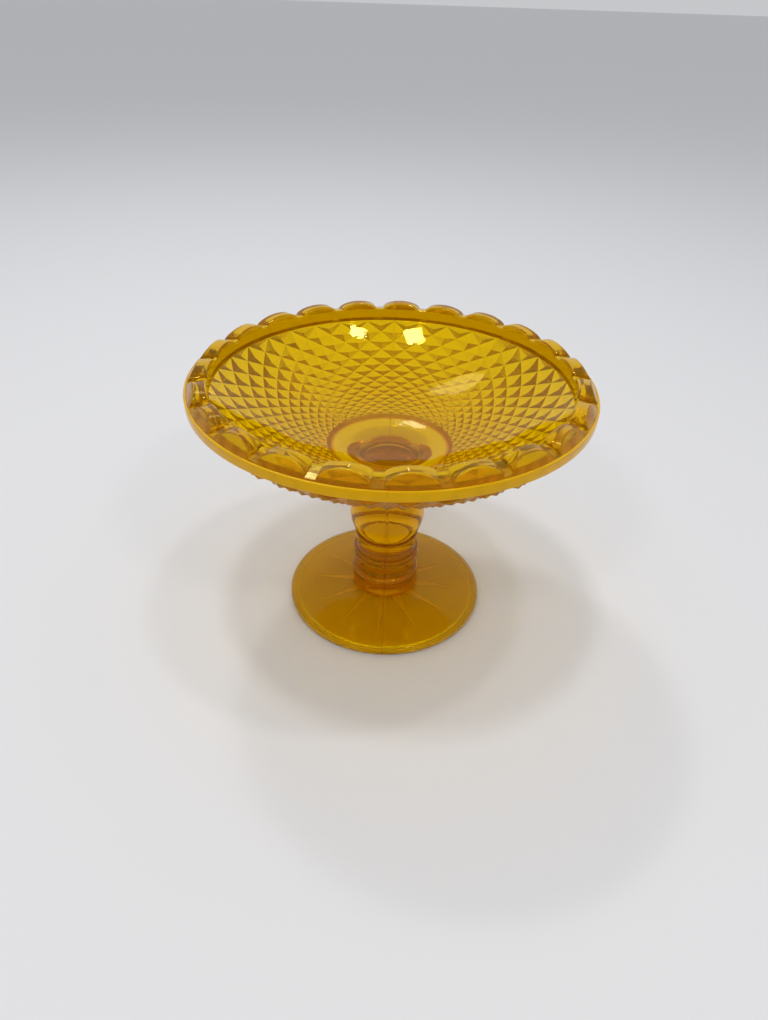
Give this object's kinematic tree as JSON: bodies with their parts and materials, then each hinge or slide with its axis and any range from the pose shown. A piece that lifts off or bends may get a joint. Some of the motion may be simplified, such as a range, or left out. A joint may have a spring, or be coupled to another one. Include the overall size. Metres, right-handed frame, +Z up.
{
  "type": "footed candy dish",
  "caption": "Round pressed-glass bowl with a scalloped rim and diamond-pointed underside, standing on a short stem with a ball and a wide round foot; holds sweets.",
  "frame": {"origin": "centre of the foot on the surface that the dish stands on", "axes": "+Z up along the axis of the dish, +X to the right and +Y away from the viewer in the picture"},
  "size_m": [0.184, 0.184, 0.1313],
  "materials": {
    "amber_glass": "glossy"
  },
  "bodies": {
    "root": {"foot": "amber_glass", "stem": "amber_glass", "joining_wafer": "amber_glass", "bowl": "amber_glass"}
  },
  "joints": []
}
